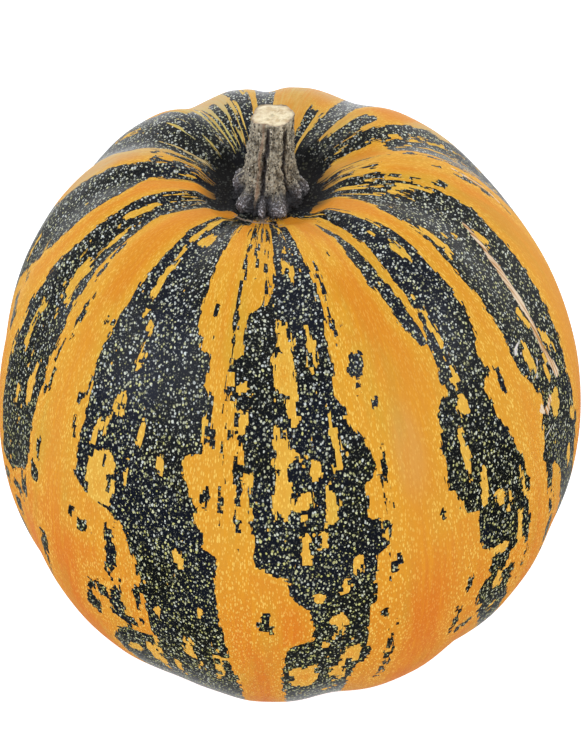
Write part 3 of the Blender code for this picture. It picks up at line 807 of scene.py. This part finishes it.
def dry_stem_bark():
    """Dry woody bark: grey-olive grains over dark pits, dark knobs and furrows with painted shade in the
    furrows and between the knobs, pale where cut.
    """
    material, tree, shader = new_material("dry stem bark")
    add = partial(add_node, tree)
    place = add("TexCoord")["Object"]
    names = ("up", "furrow", "pink", "knob", "cut", "core")
    values = [add("Attribute", attribute_name=name)["Fac"] for name in names]
    up, in_furrow, pink, knob, cut, core = values

    # Bark pitted every 0.8 mm or so, over 7 mm fibres, with a few pale specks
    pit_place = add("Mapping", [place, None, None, per_metre(0.8, 0.8, 1.3)])[0]
    pit = add("TexVoronoi", {"Vector": pit_place, "Scale": 1.0})
    pit_draw = add("SeparateColor", [pit["Color"]])
    fibre_place = add("Mapping", [place, None, None, per_metre(1.1, 1.1, 7)])[0]
    fibre = add("TexNoise", {"Vector": fibre_place, "Scale": 1.0, "Detail": 3.0})["Fac"]
    patch = add("TexNoise", {"Vector": place, "Scale": per_metre(3.0)[0], "Detail": 2.0})["Fac"]
    tone = add("Math", [fibre, patch], operation="ADD")[0]
    tone = add("MapRange", [tone, 0.75, 1.25, 0, 1])[0]
    bark = add("Mix", {0: tone, 6: "#4c432f", 7: "#b4aa8e"}, **COLOUR)[2]
    pit_share = add("MapRange", [pit["Distance"], 0.5, 0.22, 0, 1])[0]
    pit_depth = add("MapRange", [pit_draw[1], 0.25, 0.65, 0, 0.95])[0]
    pit_share = add("Math", [pit_share, pit_depth], operation="MULTIPLY")[0]
    speck_share = add("MapRange", [pit_draw[1], 0.2, 0.05, 0, 0.9])[0]
    speck_round = add("MapRange", [pit["Distance"], 0.5, 0.2, 0, 1])[0]
    speck_share = add("Math", [speck_share, speck_round], operation="MULTIPLY")[0]
    # Painted shade darkens the furrows, over their own darker bark
    furrow_dark_and_shade = add("MapRange", [in_furrow, 0.15, 0.7, 0, 0.95], **SMOOTH)[0]
    pink_share = add("Math", [pink, fibre], operation="MULTIPLY")[0]
    pink_share = add("MapRange", [pink_share, 0.2, 0.55, 0, 0.8])[0]

    # The foot is near black between its knobs, painted shade in the gaps there, and its knobs are grey with
    # pale grit
    foot_line = add("Math", [patch, -0.008, up], operation="MULTIPLY_ADD")[0]
    foot_line = add("Math", [pink, 0.005, foot_line], operation="MULTIPLY_ADD")[0]
    at_shaded_foot = add("MapRange", [foot_line, 0.006, 0.001, 0, 1], **SMOOTH)[0]
    foot = add("Mix", {0: knob, 6: "#0a0908", 7: "#524d49"}, **COLOUR)[2]
    grit = add("TexNoise", {"Vector": place, "Scale": per_metre(0.7)[0], "Detail": 2.0})["Fac"]
    foot_speck = add("MapRange", [grit, 0.52, 0.64, 0, 0.85])[0]
    foot_speck = add("Math", [foot_speck, knob], operation="MULTIPLY")[0]
    foot = add("Mix", {0: foot_speck, 6: foot, 7: "#c6c4c2"}, **COLOUR)[2]

    rim = add("MapRange", [core, 0.84, 1.0, 0, 1.3])[0]
    rim = add("Math", [rim, patch], operation="MULTIPLY", use_clamp=True)[0]
    heart_noise = add("TexNoise", {"Vector": place, "Scale": per_metre(3.2)[0], "Detail": 3.0})["Fac"]
    heart_share = add("MapRange", [heart_noise, 0.35, 0.55, 0, 1])[0]
    heart = add("Mix", {0: heart_share, 6: "#bfa77c", 7: "#dccda6"}, **COLOUR)[2]
    heart = add("Mix", {0: rim, 6: heart, 7: "#6f4a2c"}, **COLOUR)[2]
    for share, colour in (
        (pit_share, "#1c1712"), (speck_share, "#ded5bb"), (furrow_dark_and_shade, "#241d18"),
        (pink_share, "#86684c"), (at_shaded_foot, foot), (cut, heart),
    ):
        bark = add("Mix", {0: share, 6: bark, 7: colour}, **COLOUR)[2]
    tree.links.new(bark, shader.inputs["Base Color"])
    shader.inputs["Roughness"].default_value = 0.6
    rise = add("Math", [pit_share, -0.6, fibre], operation="MULTIPLY_ADD")[0]
    bump = add("Bump", {"Height": rise, "Strength": 0.9, "Distance": 0.0007})[0]
    tree.links.new(bump, shader.inputs["Normal"])
    return material


stem_mesh.materials.append(dry_stem_bark())
stem_bark = new_piece("stem_bark", stem_mesh)
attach(stem_bark, "root")
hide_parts("stem")


# The photographer's table, lamps and camera
# A white table top runs on to the horizon, under a white sky, with two tall soft boxes.
CAMERA_ELEVATION = 43.5
CAMERA_DISTANCE = 0.92
CAMERA_LENS = 109.1
CAMERA_ROLL = 0.75
CAMERA_AIM = (0.0084, 0.0078, WAIST_HEIGHT + 0.0082)
TABLE_HALF = 6.0

table_mesh = bpy.data.meshes.new("table_top")
table_corners = [(x * TABLE_HALF, y * TABLE_HALF, 0) for x, y in ((-1, -1), (1, -1), (1, 1), (-1, 1))]
table_mesh.from_pydata(table_corners, [], [(0, 1, 2, 3)])
table_material, _, table_shader = new_material("white table top")
for name, value in (
    ("Base Color", linear("#c4c4c3")), ("Roughness", 0.8),
    ("Emission Color", linear("#fbfdff")), ("Emission Strength", 0.8),
):
    table_shader.inputs[name].default_value = value
table_mesh.materials.append(table_material)
table = new_piece("table_top", table_mesh)
table.location.z = -0.0005
table.visible_glossy = False


def soft_box(name, azimuth, elevation, distance, width, height, power, colour):
    """A soft box that faces the fruit's waist."""
    turn, rise = math.radians(azimuth), math.radians(elevation)
    away = Vector((math.sin(turn) * math.cos(rise), -math.cos(turn) * math.cos(rise), math.sin(rise)))
    light = bpy.data.lights.new(name, "AREA")
    light.shape = "RECTANGLE"
    light.size, light.size_y = width, height
    light.energy = power
    light.color = linear(colour)[:3]
    lamp = bpy.data.objects.new(name, light)
    lamp.location = Vector((0, 0, WAIST_HEIGHT)) + away * distance
    lamp.rotation_euler = away.to_track_quat("Z", "Y").to_euler()
    bpy.context.scene.collection.objects.link(lamp)


soft_box("soft_box_left", -52, 28, 1.1, 0.9, 0.7, 9, "#dfe6ff")
soft_box("soft_box_right", 52, 30, 1.1, 0.9, 0.5, 7, "#eef1ff")
soft_box("top_light", 0, 84, 1.3, 1.4, 1.4, 5, "#ffffff")

# The room is bright behind the table and dim behind the camera. Below the horizon it shows only
# in the rind's gloss, and it is dimmer there at the sides.
sky = bpy.data.worlds.new("studio room")
bpy.context.scene.world = sky
sky.use_nodes = True
sky_tree = sky.node_tree
sky_add = partial(add_node, sky_tree)
sky_side = sky_add("SeparateXYZ", [sky_add("TexCoord")["Generated"]])
sky_light = sky_add("MapRange", [sky_side[1], 0.0, 0.8, 0.25, 2.2], **SMOOTH)[0]
sky_aside = sky_add("Math", [sky_side[0]], operation="ABSOLUTE")[0]
sky_loss = sky_add("MapRange", [sky_aside, 0.02, 0.45, 0, -0.85], **SMOOTH)[0]
sky_below = sky_add("MapRange", [sky_side[2], 0.0, -0.3, 0, 1])[0]
sky_share = sky_add("Math", [sky_loss, sky_below, 1.0], operation="MULTIPLY_ADD")[0]
sky_light = sky_add("Math", [sky_light, sky_share], operation="MULTIPLY")[0]
sky_tree.nodes["Background"].inputs["Color"].default_value = linear("#fafbff")
sky_tree.links.new(sky_light, sky_tree.nodes["Background"].inputs["Strength"])
bpy.context.scene.view_settings.view_transform = "Standard"

rise = math.radians(CAMERA_ELEVATION)
back = Vector((0, -math.cos(rise), math.sin(rise)))
camera_data = bpy.data.cameras.new("camera")
camera_data.lens = CAMERA_LENS
camera_data.sensor_width = 36.0
camera_data.clip_start = 0.01
camera = bpy.data.objects.new("camera", camera_data)
camera.location = Vector((LEAN * WAIST_HEIGHT, 0, WAIST_HEIGHT)) + back * CAMERA_DISTANCE
facing = (camera.location - Vector(CAMERA_AIM)).to_track_quat("Z", "Y").to_matrix()
camera.rotation_euler = (facing @ Matrix.Rotation(-math.radians(CAMERA_ROLL), 3, "Z")).to_euler()
bpy.context.scene.collection.objects.link(camera)
bpy.context.scene.camera = camera
